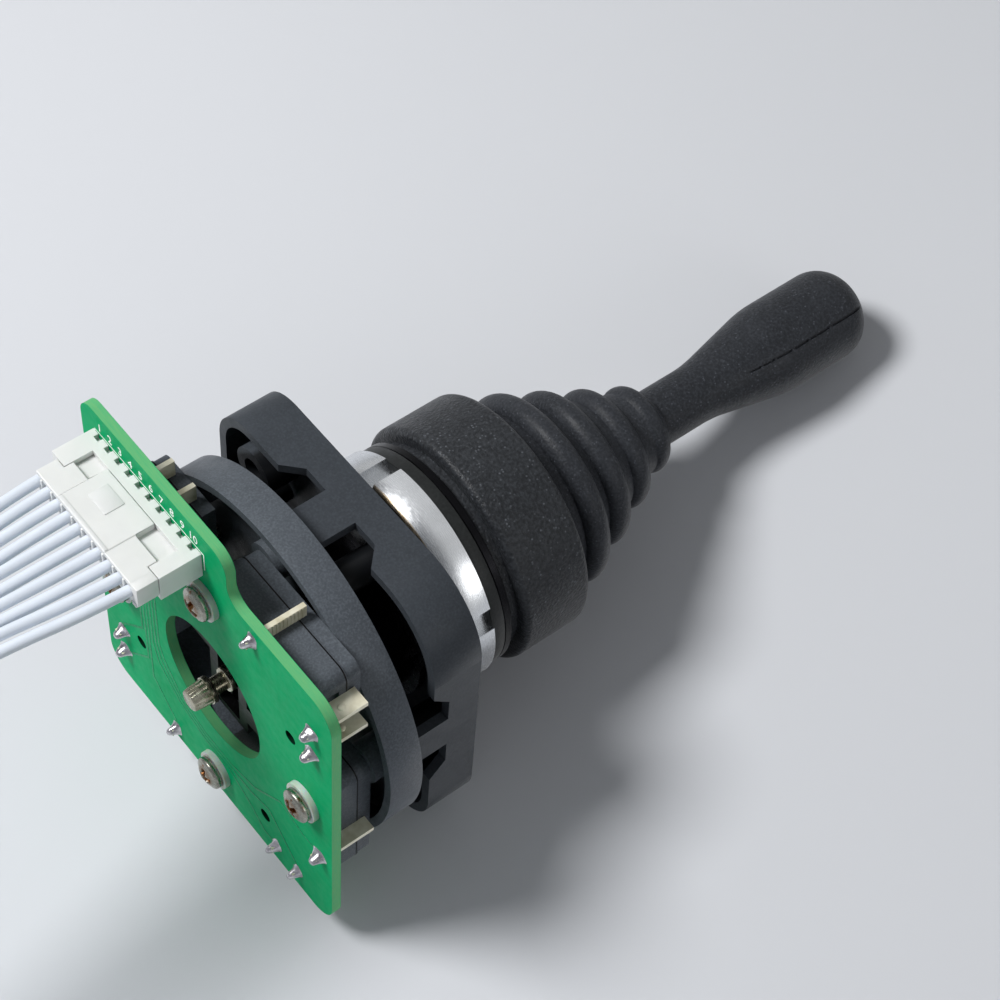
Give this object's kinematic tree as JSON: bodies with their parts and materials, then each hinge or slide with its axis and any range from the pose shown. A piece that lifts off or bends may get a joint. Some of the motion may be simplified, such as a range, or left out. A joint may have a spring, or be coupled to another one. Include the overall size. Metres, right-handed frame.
{
  "type": "panel joystick",
  "caption": "Panel-mounted two-axis lever joystick with a bellows boot, contact blocks on a round carrier and a wired circuit board behind the panel.",
  "frame": {"origin": "centre of the panel hole, in the plane of the panel's front face under the gasket", "axes": "+Z along the lever out of the panel's front, -Y towards the wire connector, X along the connector's row of pins"},
  "size_m": [0.0588, 0.0667, 0.2832],
  "materials": {
    "black_rubber_texture": "fine matte grain",
    "boot_rubber": "matte",
    "gasket_rubber": "satin",
    "black_plastic": "satin",
    "bracket_plastic": "satin",
    "handle_plastic": "satin",
    "barrel_metal": "black anodised",
    "chrome_nut": "bright plated",
    "spring_steel": "plain",
    "lever_steel": "ground",
    "gimbal_metal": "machined",
    "board_green": "solder mask on glass-fibre laminate",
    "screw_steel": "zinc plated",
    "washer_nylon": "translucent",
    "terminal_nickel": "nickel plated",
    "solder": "dull",
    "connector_white": "natural",
    "pin_tin": "tinned",
    "wire_white": "smooth insulation"
  },
  "bodies": {
    "base": {"panel_gasket": "gasket_rubber", "threaded_barrel": "barrel_metal", "barrel_clip": "spring_steel", "ring_nut": "chrome_nut", "front_collar": "black_rubber_texture", "mounting_bracket": "bracket_plastic", "switch_carrier": "black_plastic", "carrier_screws": "screw_steel", "circuit_board": "board_green", "board_screws": "screw_steel", "screw_washers": "washer_nylon", "solder_joints": "solder", "connector_header": "connector_white", "header_pins": "pin_tin", "connector_plug": "connector_white", "spring_seat": "gimbal_metal", "return_spring": "spring_steel", "bellows_boot": "boot_rubber", "contact_case_south": "black_plastic", "contact_cover_south": "black_plastic", "terminals_south": "terminal_nickel", "contact_case_east": "black_plastic", "contact_cover_east": "black_plastic", "terminals_east": "terminal_nickel", "contact_case_north": "black_plastic", "contact_cover_north": "black_plastic", "terminals_north": "terminal_nickel", "contact_case_west": "black_plastic", "contact_cover_west": "black_plastic", "terminals_west": "terminal_nickel", "wire_01": "wire_white", "wire_02": "wire_white", "wire_03": "wire_white", "wire_04": "wire_white", "wire_05": "wire_white", "wire_06": "wire_white", "wire_07": "wire_white", "wire_08": "wire_white", "wire_09": "wire_white", "wire_10": "wire_white"},
    "gimbal": {"gimbal_ring": "gimbal_metal", "gimbal_pins": "lever_steel"},
    "lever": {"lever_rod": "lever_steel", "lever_pin": "lever_steel", "spring_stop": "lever_steel", "handle_grip": "handle_plastic"},
    "slider_x": {"slider_x": "black_plastic"},
    "slider_y": {"slider_y": "black_plastic"}
  },
  "joints": [
    {"name": "tilt_y", "type": "hinge", "parent": "base", "child": "gimbal", "pos_m": [0, 0, -0.007], "axis": [0, 1, 0], "range_deg": [-12, 12], "stiffness_Nm_per_rad": 2, "deforming": ["bellows_boot", "return_spring"]},
    {"name": "tilt_x", "type": "hinge", "parent": "gimbal", "child": "lever", "pos_m": [0, 0, -0.007], "axis": [1, 0, 0], "range_deg": [-12, 12], "stiffness_Nm_per_rad": 2, "deforming": ["bellows_boot", "return_spring"]},
    {"name": "slide_x", "type": "slide", "parent": "base", "child": "slider_x", "axis": [1, 0, 0], "range_m": [-0.0056, 0.0056]},
    {"name": "slide_y", "type": "slide", "parent": "base", "child": "slider_y", "axis": [0, 1, 0], "range_m": [-0.00515, 0.00515]}
  ],
  "couplings": [
    {"joint": "slide_x", "follows": "tilt_y", "m_per_rad": -0.02659},
    {"joint": "slide_y", "follows": "tilt_x", "m_per_rad": 0.024459}
  ]
}
